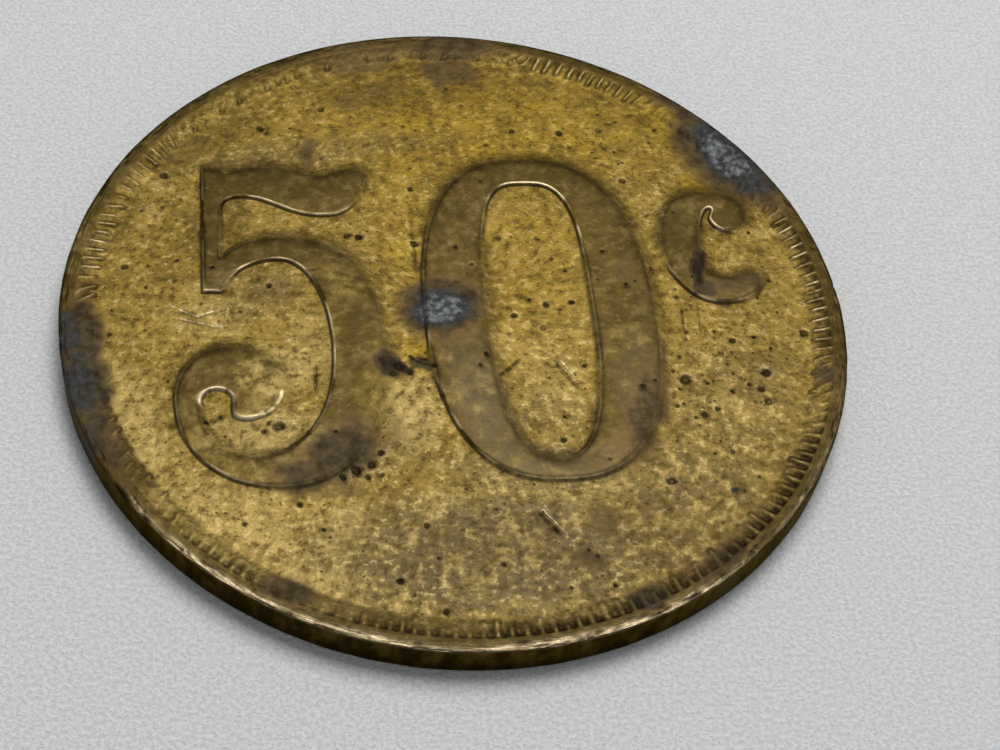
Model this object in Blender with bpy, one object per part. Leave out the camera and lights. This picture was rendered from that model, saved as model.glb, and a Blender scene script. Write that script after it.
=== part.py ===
"""Struck brass transit token: one solid disc with raised numerals and a denticled border.

Metres, +Z up.  The origin is the centre of the lower rim's flat ring, the
numerals stand on the upper face and read upright along +Y.
"""
import math

import bmesh
import bpy
from mathutils import Vector

# ---- driving dimensions -------------------------------------------------
RADIUS = 0.016                  # outer radius of the disc
THICKNESS = 0.001466            # from one rim's flat ring to the other
FIELD_RECESS = 0.00019          # rim top down to the flat field, on each face
NUMERAL_RECESS = 0.00002        # rim top down to the flat tops of the numerals
DENTICLE_RECESS = 0.00005       # rim top down to the crests of the border
DENTICLES = 188                 # radial ridges round each face, a multiple of 4

# Radii of the border, as fractions of RADIUS, from the field outwards.
DENTICLE_FOOT = 0.905           # inner end of the ridges, at field level
CREST_START = 0.917
CREST_END = 0.953
RIM_INNER = 0.966               # the plain rim's flat ring
RIM_OUTER = 0.985
SHOULDER = 0.9955               # chamfer between the ring and the edge wall
SHOULDER_DROP = 0.00006
EDGE_DROP = 0.00020

# The numerals, drawn in fractions of RADIUS.
ARC_STEP = math.radians(6.0)  # turn of each straight piece of a round stretch
BEZIER_STEPS = 6
NUMERAL_ROOT = 0.00030          # how far a numeral's prism reaches below the field

# ---- material -----------------------------------------------------------
BRASS_COLOUR = (0.37, 0.26, 0.09, 1.0)
BRASS_METALLIC = 0.75
BRASS_ROUGHNESS = 0.48


def clear_scene():
    """Remove every object that the scene starts with."""
    for thing in list(bpy.data.objects):
        bpy.data.objects.remove(thing, do_unlink=True)


def brass():
    """Worn, tarnished brass."""
    material = bpy.data.materials.new("struck_brass")
    material.use_nodes = True
    shader = material.node_tree.nodes["Principled BSDF"]
    shader.inputs["Base Color"].default_value = BRASS_COLOUR
    shader.inputs["Metallic"].default_value = BRASS_METALLIC
    shader.inputs["Roughness"].default_value = BRASS_ROUGHNESS
    material.diffuse_color = BRASS_COLOUR
    return material


# ---- outlines -----------------------------------------------------------
def arc(centre, radii, start, end, power=2.0):
    """Points of a superellipse arc; the angles are in degrees, and power 2 is an ellipse."""
    steps = max(1, round(abs(math.radians(end - start)) / ARC_STEP))
    points = []
    for step in range(steps + 1):
        angle = math.radians(start + (end - start) * step / steps)
        cosine, sine = math.cos(angle), math.sin(angle)
        x = math.copysign(abs(cosine) ** (2.0 / power), cosine)
        y = math.copysign(abs(sine) ** (2.0 / power), sine)
        points.append((centre[0] + radii[0] * x, centre[1] + radii[1] * y))
    return points


def bezier(start, handle_out, handle_in, end):
    """Points of one cubic Bezier segment."""
    points = []
    for step in range(BEZIER_STEPS + 1):
        t = step / BEZIER_STEPS
        weights = ((1 - t) ** 3, 3 * t * (1 - t) ** 2, 3 * t * t * (1 - t), t ** 3)
        corners = (start, handle_out, handle_in, end)
        points.append(tuple(
            sum(weight * corner[axis] for weight, corner in zip(weights, corners))
            for axis in (0, 1)
        ))
    return points


def joined(*stretches):
    """One closed outline from stretches that follow each other."""
    outline = []
    for stretch in stretches:
        for point in stretch:
            if not outline or math.dist(point, outline[-1]) > 1e-4:
                outline.append(point)
    if math.dist(outline[0], outline[-1]) < 1e-4:
        outline.pop()
    return outline


def figure_five():
    """Old-style 5: square stem, waved flag, round bowl and a tail that curls into a ball."""
    return [joined(
        [(-0.645, 0.062), (-0.647, 0.487), (-0.600, 0.487)],
        # the flag's upper side, with its two humps, out to the tip
        bezier((-0.583, 0.466), (-0.545, 0.500), (-0.420, 0.500), (-0.345, 0.457)),
        bezier((-0.345, 0.457), (-0.300, 0.470), (-0.240, 0.515), (-0.208, 0.455)),
        # back along its lower side to the stem
        bezier((-0.208, 0.455), (-0.240, 0.395), (-0.245, 0.319), (-0.335, 0.319)),
        bezier((-0.335, 0.319), (-0.430, 0.319), (-0.465, 0.385), (-0.545, 0.385)),
        bezier((-0.545, 0.385), (-0.575, 0.385), (-0.598, 0.372), (-0.598, 0.335)),
        # the bowl's outer side
        bezier((-0.600, 0.175), (-0.570, 0.215), (-0.515, 0.243), (-0.460, 0.243)),
        arc((-0.460, -0.146), (0.267, 0.389), 90, 0, 2.6),
        arc((-0.460, -0.146), (0.267, 0.389), 0, -90, 2.2),
        # the tail, over its curl and round the ball
        arc((-0.460, -0.270), (0.252, 0.265), -90, -180, 2.15),
        arc((-0.585, -0.270), (0.127, 0.155), 180, 90),
        arc((-0.585, -0.240), (0.133, 0.125), 90, 0),
        arc((-0.540, -0.240), (0.088, 0.097), 0, -90),
        bezier((-0.540, -0.337), (-0.585, -0.337), (-0.572, -0.310), (-0.572, -0.284)),
        # the eye between ball and tail, then the bowl's inner side
        arc((-0.612, -0.284), (0.040, 0.038), 0, 180),
        arc((-0.530, -0.284), (0.122, 0.164), 180, 270),
        arc((-0.530, -0.130), (0.205, 0.318), -90, 0, 2.2),
        arc((-0.455, -0.130), (0.130, 0.298), 0, 90, 2.1),
        arc((-0.455, 0.030), (0.145, 0.138), 90, 165),
        [(-0.600, 0.062)],
    )]


def figure_nought():
    """Tall nought: an outer and an inner superellipse."""
    return [
        joined(arc((0.210, -0.005), (0.298, 0.525), 0, 360, 2.5)),
        joined(
            arc((0.208, -0.020), (0.137, 0.450), 0, 180, 3.2),
            arc((0.208, -0.020), (0.137, 0.450), 180, 360, 2.5),
        ),
    ]


def letter_c():
    """Small raised c, the cents sign, with a ball on its upper end."""
    return [joined(
        arc((0.680, 0.215), (0.127, 0.185), 90, 180, 2.2),
        arc((0.690, 0.215), (0.137, 0.201), 180, 270, 2.1),
        arc((0.690, 0.085), (0.113, 0.071), -90, 0),
        bezier((0.803, 0.085), (0.803, 0.125), (0.770, 0.122), (0.745, 0.108)),
        bezier((0.745, 0.108), (0.700, 0.085), (0.655, 0.105), (0.655, 0.195)),
        bezier((0.655, 0.195), (0.655, 0.250), (0.680, 0.341), (0.702, 0.341)),
        bezier((0.702, 0.341), (0.718, 0.341), (0.697, 0.315), (0.697, 0.300)),
        arc((0.748, 0.310), (0.051, 0.053), 190, 360),
        bezier((0.799, 0.325), (0.799, 0.380), (0.760, 0.400), (0.680, 0.400)),
    )]


# ---- the disc -----------------------------------------------------------
def ring(mesh, count, fraction, heights):
    """A ring of vertices; heights repeats round it, so two values alternate."""
    vertices = []
    for index in range(count):
        angle = 2 * math.pi * index / count
        place = Vector((math.cos(angle), math.sin(angle), 0)) * RADIUS * fraction
        place.z = heights[index % len(heights)]
        vertices.append(mesh.verts.new(place))
    return vertices


def bridge(mesh, inner, outer):
    """Faces between two rings that have as many vertices, or twice as many, as each other."""
    fewer, more = sorted((inner, outer), key=len)
    for index, start in enumerate(fewer):
        end = fewer[(index + 1) % len(fewer)]
        if len(fewer) == len(more):
            far_end = more[(index + 1) % len(more)]
            mesh.faces.new((start, end, far_end, more[index]))
        else:
            near, middle = more[2 * index], more[2 * index + 1]
            far = more[(2 * index + 2) % len(more)]
            mesh.faces.new((start, middle, near))
            mesh.faces.new((start, end, middle))
            mesh.faces.new((end, far, middle))


def face_rings(mesh, rim_height, inwards):
    """The rings of one face, field to edge; inwards is -1 on top and +1 underneath."""
    field = rim_height + inwards * FIELD_RECESS
    crest = rim_height + inwards * DENTICLE_RECESS
    shoulder = rim_height + inwards * SHOULDER_DROP
    edge = rim_height + inwards * EDGE_DROP
    ridges = (field, crest)
    return [
        ring(mesh, DENTICLES, DENTICLE_FOOT, (field,)),
        ring(mesh, 2 * DENTICLES, CREST_START, ridges),
        ring(mesh, 2 * DENTICLES, CREST_END, ridges),
        ring(mesh, DENTICLES, RIM_INNER, (rim_height,)),
        ring(mesh, DENTICLES, RIM_OUTER, (rim_height,)),
        ring(mesh, DENTICLES, SHOULDER, (shoulder,)),
        ring(mesh, DENTICLES, 1.0, (edge,)),
    ]


def blank_disc():
    """The disc with its border on both faces and two flat fields."""
    mesh = bmesh.new()
    upper = face_rings(mesh, THICKNESS, -1)
    lower = face_rings(mesh, 0.0, 1)
    rings = upper + lower[::-1]
    for inner, outer in zip(rings, rings[1:]):
        bridge(mesh, inner, outer)
    mesh.faces.new(upper[0])
    mesh.faces.new(lower[0][::-1])
    bmesh.ops.recalc_face_normals(mesh, faces=mesh.faces)
    data = bpy.data.meshes.new("struck_disc")
    mesh.to_mesh(data)
    mesh.free()
    disc = bpy.data.objects.new("struck_disc", data)
    bpy.context.collection.objects.link(disc)
    return disc


def numeral_prism(name, outlines):
    """A prism of the outlines, from inside the disc up to the numerals' flat top."""
    bottom = THICKNESS - FIELD_RECESS - NUMERAL_ROOT
    top = THICKNESS - NUMERAL_RECESS
    curve = bpy.data.curves.new(name, "CURVE")
    curve.dimensions = "2D"
    curve.fill_mode = "BOTH"
    curve.extrude = (top - bottom) / 2
    for outline in outlines:
        spline = curve.splines.new("POLY")
        spline.points.add(len(outline) - 1)
        for point, (x, y) in zip(spline.points, outline):
            point.co = (x * RADIUS, y * RADIUS, 0, 1)
        spline.use_cyclic_u = True
    drawing = bpy.data.objects.new(name + "_drawing", curve)
    bpy.context.collection.objects.link(drawing)
    solid = bpy.data.meshes.new_from_object(drawing)
    bpy.data.objects.remove(drawing, do_unlink=True)

    mesh = bmesh.new()
    mesh.from_mesh(solid)
    bmesh.ops.remove_doubles(mesh, verts=mesh.verts, dist=1e-8)
    bmesh.ops.recalc_face_normals(mesh, faces=mesh.faces)
    mesh.to_mesh(solid)
    mesh.free()
    prism = bpy.data.objects.new(name, solid)
    prism.location.z = (top + bottom) / 2
    prism.hide_render = True
    prism.display_type = "WIRE"
    bpy.context.collection.objects.link(prism)
    return prism


def strike(disc, prism):
    """Raise one numeral from the disc's upper field."""
    union = disc.modifiers.new("raise_" + prism.name, "BOOLEAN")
    union.operation = "UNION"
    union.object = prism


def build():
    clear_scene()
    disc = blank_disc()
    for name, outlines in (
        ("die_five", figure_five()),
        ("die_nought", figure_nought()),
        ("die_c", letter_c()),
    ):
        strike(disc, numeral_prism(name, outlines))
    disc.data.materials.append(brass())
    disc.data.shade_smooth()
    disc.data.set_sharp_from_angle(angle=math.radians(25))


build()
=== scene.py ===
"""Looks of a struck brass fare token: worn relief, denticled border, pits, tarnish and grain.

Plan positions and heights are worked out in radii, fractions of the token's own radius, which
the frame gives, and turned into metres when the mesh is made.  Angles turn anticlockwise from +X.
"""
import math

import bpy
import numpy as np
from mathutils import Matrix, Vector
from mathutils.geometry import delaunay_2d_cdt


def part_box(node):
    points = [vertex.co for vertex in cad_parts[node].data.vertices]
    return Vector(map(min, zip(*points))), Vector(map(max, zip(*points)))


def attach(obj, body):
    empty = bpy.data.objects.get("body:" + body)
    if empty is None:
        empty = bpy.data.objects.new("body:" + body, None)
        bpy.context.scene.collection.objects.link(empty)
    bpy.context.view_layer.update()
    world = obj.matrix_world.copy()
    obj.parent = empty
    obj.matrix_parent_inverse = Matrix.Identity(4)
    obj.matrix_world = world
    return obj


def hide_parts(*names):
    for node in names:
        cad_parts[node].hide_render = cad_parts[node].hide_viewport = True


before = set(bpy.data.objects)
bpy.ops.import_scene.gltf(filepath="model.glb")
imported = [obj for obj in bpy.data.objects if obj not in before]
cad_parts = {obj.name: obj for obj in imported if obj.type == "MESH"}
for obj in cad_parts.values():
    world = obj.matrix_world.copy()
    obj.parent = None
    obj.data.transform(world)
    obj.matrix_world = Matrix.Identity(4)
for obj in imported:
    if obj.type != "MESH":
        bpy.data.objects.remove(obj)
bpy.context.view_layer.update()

FULL_TURN = 2 * math.pi

# ---- sizes taken from the frame ----
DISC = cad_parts["struck_disc"]
LOW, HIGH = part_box("struck_disc")
RADIUS = (HIGH.x - LOW.x) / 2
TOP = (HIGH.z - LOW.z) / RADIUS

# ---- the border, in radii ----
FIELD_EDGE = 0.905              # inner end of the denticles
RIM_FOOT = 0.9625               # where the plain rim rises behind them
RIM_TURN = 0.985                # outer edge of the rim's flat ring
DENTICLES = 188
COLUMNS_PER_DENTICLE = 8
LOWER_COLUMNS_PER_DENTICLE = 4
CREST_DROP = 0.0012             # rim's flat ring down to the denticles' crests

# ---- the numerals' walls ----
# Rows of vertices along the outlines, by signed distance, positive on the metal.
WALL_ROWS = (-0.0135, -0.0075, -0.0044, -0.0025, -0.0011, 0.0003, 0.0017, 0.0034, 0.0064, 0.0125)
OUTLINE_STEP = 0.007
CORNER_TURN = math.radians(32)  # an outline that turns more than this at a point has a corner there
GRID_STEP = 0.011
LOWER_GRID_STEP = 0.022
POINT_GAP = 0.0011              # plan points nearer than about this are thinned out
NUMERAL_REACH = 0.9             # the numerals lie inside this radius
LEVEL_SLACK = 2e-4              # a flat face this near a level lies at it
CHUNK = 1500                    # points handled at once, to keep the arrays small


# ---- small numeric helpers ----
def smoothstep(low, high, value):
    share = np.clip((value - low) / (high - low), 0.0, 1.0)
    return share * share * (3.0 - 2.0 * share)


def lumps(x, y, cell, seed):
    """Smooth noise from -1 to 1 whose lumps are about one cell across."""
    table = np.random.default_rng(seed).uniform(-1.0, 1.0, (256, 256))
    u, v = x / cell, y / cell
    column, row = np.floor(u).astype(int), np.floor(v).astype(int)
    a, b = u - column, v - row
    a, b = a * a * (3 - 2 * a), b * b * (3 - 2 * b)
    left, right = column % 256, (column + 1) % 256
    low, high = row % 256, (row + 1) % 256
    return (
        table[left, low] * (1 - a) * (1 - b) + table[right, low] * a * (1 - b)
        + table[left, high] * (1 - a) * b + table[right, high] * a * b
    )


def round_lumps(angle, count, seed):
    """Smooth noise from -1 to 1 round a full turn, with count lumps."""
    table = np.random.default_rng(seed).uniform(-1.0, 1.0, count)
    place = angle / FULL_TURN * count
    start = np.floor(place).astype(int)
    share = place - start
    share = share * share * (3 - 2 * share)
    return table[start % count] * (1 - share) + table[(start + 1) % count] * share


# ---- outlines of the numerals ----
def face_levels():
    """Heights, in radii, of the upper field and of the numerals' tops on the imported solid."""
    inner = [
        v.co.z for v in DISC.data.vertices
        if v.co.z > HIGH.z / 2 and v.co.xy.length < NUMERAL_REACH * RADIUS
    ]
    return min(inner) / RADIUS, max(inner) / RADIUS


def packed_outlines(level):
    """Closed outlines, in radii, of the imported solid's flat faces at that height."""
    mesh = DISC.data
    places = {}
    edges = set()
    for face in mesh.polygons:
        corners = [mesh.vertices[i].co for i in face.vertices]
        if any(abs(c.z / RADIUS - level) > LEVEL_SLACK for c in corners):
            continue
        if any(c.xy.length > NUMERAL_REACH * RADIUS for c in corners):
            continue
        keys = []
        for corner in corners:
            key = (round(corner.x * 1e7), round(corner.y * 1e7))
            places[key] = (corner.x / RADIUS, corner.y / RADIUS)
            keys.append(key)
        for start, end in zip(keys, keys[1:] + keys[:1]):
            if (end, start) in edges:
                edges.remove((end, start))
            else:
                edges.add((start, end))
    following = dict(edges)
    outlines = []
    while following:
        start = min(following)
        key, outline = start, []
        while key in following:
            outline.append(places[key])
            key = following.pop(key)
        outlines.append(np.array(outline))
    return outlines


def finer(outline):
    """A smooth outline through the same points, with short steps and its corners kept."""
    count = len(outline)
    before, after = outline - np.roll(outline, 1, 0), np.roll(outline, -1, 0) - outline
    turn = np.abs(np.angle(
        (after[:, 0] + 1j * after[:, 1]) / (before[:, 0] + 1j * before[:, 1])
    ))
    corner = turn > CORNER_TURN
    points = []
    for i in range(count):
        j = (i + 1) % count
        a, b = outline[i], outline[j]
        length = np.linalg.norm(b - a)
        out = (b - a) if corner[i] else (b - outline[i - 1]) * length / (
            length + np.linalg.norm(a - outline[i - 1]))
        following = outline[(j + 1) % count]
        into = (b - a) if corner[j] else (following - a) * length / (
            length + np.linalg.norm(following - b))
        steps = max(1, math.ceil(length / OUTLINE_STEP))
        for step in range(steps):
            t = step / steps
            points.append(
                (2 * t**3 - 3 * t**2 + 1) * a + (t**3 - 2 * t**2 + t) * out
                + (3 * t**2 - 2 * t**3) * b + (t**3 - t**2) * into
            )
    return np.array(points)


class Numerals:
    """The numerals' outlines, with their signed distance and how crisp each stretch is."""

    def __init__(self, outlines):
        self.outlines = outlines
        self.starts = np.concatenate(outlines)
        self.along = np.concatenate([np.roll(o, -1, 0) - o for o in outlines])
        self.crisp = np.concatenate([crispness(o) for o in outlines])

    def near(self, points):
        """Signed distance from the outlines, positive on the metal; crispness and facing there.

        Facing is the part along +Y of the wall's outward direction.
        """
        starts, along = self.starts, self.along
        ends_y = starts[:, 1] + along[:, 1]
        length2 = (along**2).sum(1)
        facing = -along[:, 0] / np.sqrt(length2)
        lean = along[:, 0] / np.where(along[:, 1] == 0, 1, along[:, 1])
        distance = np.empty(len(points))
        nearest = np.empty(len(points), int)
        for first in range(0, len(points), CHUNK):
            x, y = (points[first:first + CHUNK, k, None] for k in range(2))
            across, up = x - starts[:, 0], y - starts[:, 1]
            share = np.clip((across * along[:, 0] + up * along[:, 1]) / length2, 0, 1)
            gap = (across - share * along[:, 0]) ** 2 + (up - share * along[:, 1]) ** 2
            closest = gap.argmin(1)
            crossed = ((starts[:, 1] > y) != (ends_y > y)) & (across < up * lean)
            inside = crossed.sum(1) % 2 == 1
            reach = np.sqrt(np.take_along_axis(gap, closest[:, None], 1)[:, 0])
            distance[first:first + CHUNK] = np.where(inside, reach, -reach)
            nearest[first:first + CHUNK] = closest
        return distance, self.crisp[nearest], facing[nearest]

    def rows(self):
        """Points in rows along the outlines, one row for each of WALL_ROWS."""
        kept = []
        for outline in self.outlines:
            tangent = np.roll(outline, -1, 0) - np.roll(outline, 1, 0)
            inward = np.stack([-tangent[:, 1], tangent[:, 0]], 1)
            inward /= np.linalg.norm(inward, axis=1)[:, None]
            for offset in WALL_ROWS:
                row = outline + offset * inward
                kept.append(row[np.abs(self.near(row)[0] - offset) < 0.0006])
        return np.concatenate(kept)


# Places where the wall is worn softer: place, reach and share of the crispness lost.
SOFTENED = (
    (0.56, 0.24, 0.13, 0.75), (0.05, -0.33, 0.09, 0.75), (0.79, 0.28, 0.06, 0.75),
    (0.34, 0.06, 0.15, 0.42), (0.33, -0.26, 0.17, 0.55), (0.12, -0.48, 0.13, 0.45),
    (-0.04, -0.16, 0.08, 0.5), (-0.03, 0.33, 0.12, 0.4), (-0.35, 0.08, 0.06, 0.35),
    (-0.45, -0.56, 0.09, 0.4),
)


def crispness(outline):
    """How crisp the wall is at each point of an outline, from 0, worn soft, to 1.

    The struck metal filled inner bends well, and wear has softened the far and right-hand edges.
    """
    tangent = np.roll(outline, -1, 0) - outline
    heading = np.arctan2(tangent[:, 1], tangent[:, 0])
    turn = (np.roll(heading, -1) - heading + math.pi) % FULL_TURN - math.pi
    inner = smoothstep(0.0, 0.012, -around(turn, 15))
    far, right = -np.cos(heading), np.sin(heading)
    patchy = 0.2 * lumps(outline[:, 0], outline[:, 1], 0.12, 41)
    patchy = patchy + 0.24 * lumps(outline[:, 0], outline[:, 1], 0.034, 42)
    crisp = np.clip(0.36 - 0.5 * far - 0.32 * right + 0.35 * inner + patchy, 0.02, 1)
    for x, y, reach, share in SOFTENED:
        away = np.hypot(outline[:, 0] - x, outline[:, 1] - y)
        crisp = crisp * (1 - share * smoothstep(1.2 * reach, 0.6 * reach, away))
    return around(crisp, 2)


def around(values, reach):
    """Moving average of values along a closed outline."""
    return sum(np.roll(values, k) for k in range(-reach, reach + 1)) / (2 * reach + 1)


# ---- pits, scratches and nicks ----
# The largest pits: place, radius and depth, in thousandths of a radius.
LARGE_PITS = (
    (-325, 710, 11, 5), (-490, 640, 9, 4), (325, 625, 10, 5), (435, 635, 9, 3), (480, 445, 10, 6),
    (-745, 465, 11, 5), (-840, 150, 10, 4), (-710, 170, 6, 3), (-275, 252, 7, 4), (-243, 247, 9, 5),
    (-100, 225, 12, 6), (-98, 415, 9, 4), (125, 240, 8, 3), (345, 245, 10, 4), (80, 222, 10, 4),
    (225, 15, 14, 5), (295, 22, 10, 5), (140, -22, 10, 5), (210, -62, 9, 3), (640, 165, 7, 4),
    (655, 215, 9, 5), (-480, 85, 9, 4), (222, -415, 9, 4), (-82, -232, 13, 7), (555, -230, 13, 8),
    (765, -215, 13, 8), (695, -110, 9, 6), (622, -325, 9, 4), (587, -340, 7, 4), (745, -265, 10, 4),
    (755, -306, 9, 5), (668, -272, 7, 3), (610, -245, 6, 3), (475, -537, 14, 7), (492, -562, 11, 6),
    (-130, -650, 8, 4), (-200, -800, 10, 5), (-100, -885, 8, 5), (-420, -585, 8, 4), (-370, -655, 8, 4),
    (885, -88, 11, 5), (715, -250, 7, 3), (-195, -165, 13, 6), (-166, -180, 12, 6), (-137, -198, 9, 5),
    (-205, -195, 9, 4), (-178, -205, 8, 4), (-85, -233, 9, 6), (-463, -355, 12, 7), (-632, -342, 12, 6),
    (-650, -318, 8, 4), (-275, -450, 11, 6), (-248, -475, 10, 6), (-285, -490, 12, 7), (-318, -510, 9, 5),
    (-222, -440, 9, 5), (-258, -512, 8, 4),
)
SMALL_PITS = 150
DENSE_PITS = 60                 # more of them right of the nought
LIP_SHINE = 0.16                # how bright the largest pits' lips are worn
PIT_CLEARANCE = 0.004           # pits stay this far from a numeral's wall
PIT_REACH = 0.885               # and inside this radius
PIT_SPACING = 1.35              # least distance of two pits, over the sum of their radii
PIT_RINGS = ((0.45, 6), (0.86, 9), (1.25, 11))  # share of a pit's radius, and points on that ring
LOWER_PITS = 100
LOWER_PIT_REACH = 0.88
NICKS = 260


def pits_of_upper_face(numerals):
    """All pits of the upper field: x, y, radius and depth, one row each."""
    rng = np.random.default_rng(11)
    angle = rng.uniform(0, FULL_TURN, SMALL_PITS)
    reach = np.sqrt(rng.uniform(0, 1, SMALL_PITS)) * PIT_REACH
    x = np.concatenate([reach * np.cos(angle), rng.normal(0.63, 0.12, DENSE_PITS)])
    y = np.concatenate([reach * np.sin(angle), rng.normal(-0.22, 0.16, DENSE_PITS)])
    radius = 0.0028 + 0.0042 * rng.uniform(0, 1, len(x)) ** 2.2
    depth = radius * rng.uniform(0.25, 0.55, len(x))
    small = np.stack([x, y, radius, depth], 1)
    small = small[np.hypot(x, y) < PIT_REACH]
    pits = np.concatenate([np.array(LARGE_PITS) / 1000, small])
    gap, _, _ = numerals.near(pits[:, :2])
    on_top = gap > 0
    few = np.arange(len(pits)) % 3 == 0
    return apart(pits[(np.abs(gap) > PIT_CLEARANCE + pits[:, 2]) & (few | ~on_top)])


def pits_of_lower_face():
    """The pits of the plain lower field."""
    rng = np.random.default_rng(12)
    angle = rng.uniform(0, FULL_TURN, LOWER_PITS)
    reach = np.sqrt(rng.uniform(0, 1, LOWER_PITS)) * LOWER_PIT_REACH
    radius = 0.004 + 0.008 * rng.uniform(0, 1, LOWER_PITS) ** 2.5
    depth = radius * rng.uniform(0.25, 0.5, LOWER_PITS)
    return apart(np.stack([reach * np.cos(angle), reach * np.sin(angle), radius, depth], 1))


def apart(pits):
    """The pits without those that would run into one listed before them."""
    kept = []
    for pit in pits:
        if all(math.dist(pit[:2], other[:2]) > PIT_SPACING * (pit[2] + other[2]) for other in kept):
            kept.append(pit)
    return np.array(kept)


def pit_points(pits):
    """Rings of points that give each pit a rounded bowl and a soft lip."""
    points = []
    for x, y, radius, _ in pits:
        points.append(np.array([[x, y]]))
        for share, count in PIT_RINGS:
            turn = FULL_TURN * (np.arange(count) + 0.5 * (count % 2)) / count
            points.append(np.stack([
                x + share * radius * np.cos(turn), y + share * radius * np.sin(turn)], 1))
    return np.concatenate(points)


def pit_depth(points, pits):
    """How far the pits sink each point, and how dirty and how bright they leave it, 0 to 1."""
    sunk, dirt_and_shade, wear = (np.zeros(len(points)) for _ in range(3))
    for number, (x, y, radius, depth) in enumerate(pits):
        across, up = points[:, 0] - x, points[:, 1] - y
        near = np.flatnonzero(np.maximum(np.abs(across), np.abs(up)) < 2 * radius)
        angle = np.arctan2(up[near], across[near])
        uneven = 1.1 + 0.4 * round_lumps(angle + math.pi, 3, 900 + number)
        uneven = uneven + 0.3 * round_lumps(angle + math.pi, 7, 1900 + number)
        reach = np.hypot(across[near], up[near]) / (radius * uneven)
        bowl = np.clip(1 - reach**2, 0, 1) ** 1.4
        lip = np.exp(-((reach - 1.15) / 0.18) ** 2)
        sunk[near] += depth * (bowl - 0.12 * lip)
        dirt_and_shade[near] = np.maximum(dirt_and_shade[near], smoothstep(1.12, 0.55, reach))
        wear[near] = np.maximum(wear[near], lip * smoothstep(0.006, 0.012, radius) * LIP_SHINE)
    return sunk, dirt_and_shade, wear


# ---- the surface, as heights over the plan ----
def upper_field(points, numerals, pits):
    """Height and masks of the upper face inside the border."""
    x, y = points[:, 0], points[:, 1]
    distance, crisp, facing = numerals.near(points)
    field_level, numeral_level = face_levels()

    foot = -0.0028 - 0.029 * (1 - crisp) ** 2.5
    rounding = 0.0034 + 0.023 * (1 - crisp) ** 1.5
    wall = np.clip((distance - foot) / -foot, 0, 1)
    edge = np.clip(distance / rounding, 0, 1)
    sharp = 0.8 * wall + 0.2 * (1 - (1 - edge) ** 2)
    relief = crisp * sharp + (1 - crisp) * smoothstep(1.1 * foot, rounding, distance)

    settle = smoothstep(FIELD_EDGE, FIELD_EDGE - 0.03, np.hypot(x, y))
    ground = 0.0005 * lumps(x, y, 0.16, 21) + 0.00045 * lumps(x, y, 0.045, 22)
    ground = field_level + settle * (ground + 0.00028 * lumps(x, y, 0.024, 23))
    tops = numeral_level - 0.001 + 0.0007 * smoothstep(0.0, 0.09, distance)
    tops += 0.0005 * lumps(x, y, 0.13, 24) + 0.00022 * lumps(x, y, 0.04, 25)
    sunk, pit_dirt, pit_wear = pit_depth(points, pits)
    cut, cut_dirt, cut_wear = scratched(points)
    height = ground + (tops - ground) * relief - sunk - cut

    broken = 0.5 + 0.5 * lumps(x, y, 0.05, 31)
    line = np.exp(-((distance - foot) / 0.0022) ** 2)
    lip = np.exp(-((distance - 0.002) / 0.002) ** 2)
    wide_lip = smoothstep(-0.0035, -0.0015, distance) * smoothstep(0.0075, 0.0035, distance)
    halo = smoothstep(-0.05, -0.004, distance) * (1 - 0.75 * smoothstep(0.0, 0.055, distance))
    masks = {
        "smooth": smoothstep(0.45 * foot - 0.001, 0.4 * rounding, distance),
        # Packed dirt in pits and scratches; the dark line at the walls' feet, strongest on crisp edges
        # facing the view, is partly painted shade.
        "dirt_and_shade": np.maximum.reduce([0.8 * line * broken**1.5 * crisp**1.5, pit_dirt, cut_dirt]),
        # Worn pits and scratches, and a bright lip on the numerals' edges that is partly painted
        # highlight, strongest on the crisp edges facing the view.
        "wear": np.maximum.reduce([
            lip * crisp**2.4 * smoothstep(0.2, 0.6, broken), wide_lip * rubbed_and_highlit(x, y), pit_wear,
            cut_wear]),
        # A patina halo round the numerals, with painted shade added where the wall faces +Y, away from
        # the view.
        "haze_and_shade": halo * (0.2 + 0.45 * smoothstep(-0.3, 0.8, facing)),
    }
    return height, masks


# Stretches of the numerals' edges painted bright, partly rubbed metal and partly painted highlight:
# place, reach and strength.
RUBBED_AND_HIGHLIT = (
    (-0.648, -0.268, 0.022, 1), (-0.612, -0.248, 0.022, 0.7), (-0.57, -0.268, 0.02, 0.6),
    (-0.56, -0.335, 0.02, 0.9), (-0.518, -0.338, 0.028, 1), (-0.48, -0.315, 0.012, 0.6),
    (-0.458, -0.275, 0.022, 0.6), (-0.64, 0.02, 0.03, 0.7), (0.76, 0.225, 0.03, 0.6),
    (0.715, 0.25, 0.02, 0.5),
)


def rubbed_and_highlit(x, y):
    """How bright each point's edge is painted, from 0 to 1: partly rubbed metal, partly painted
    highlight.
    """
    found = np.zeros(len(x))
    for place_x, place_y, reach, strength in RUBBED_AND_HIGHLIT:
        away = np.hypot(x - place_x, y - place_y)
        found = np.maximum(found, strength * smoothstep(1.25 * reach, 0.75 * reach, away))
    return found


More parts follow.
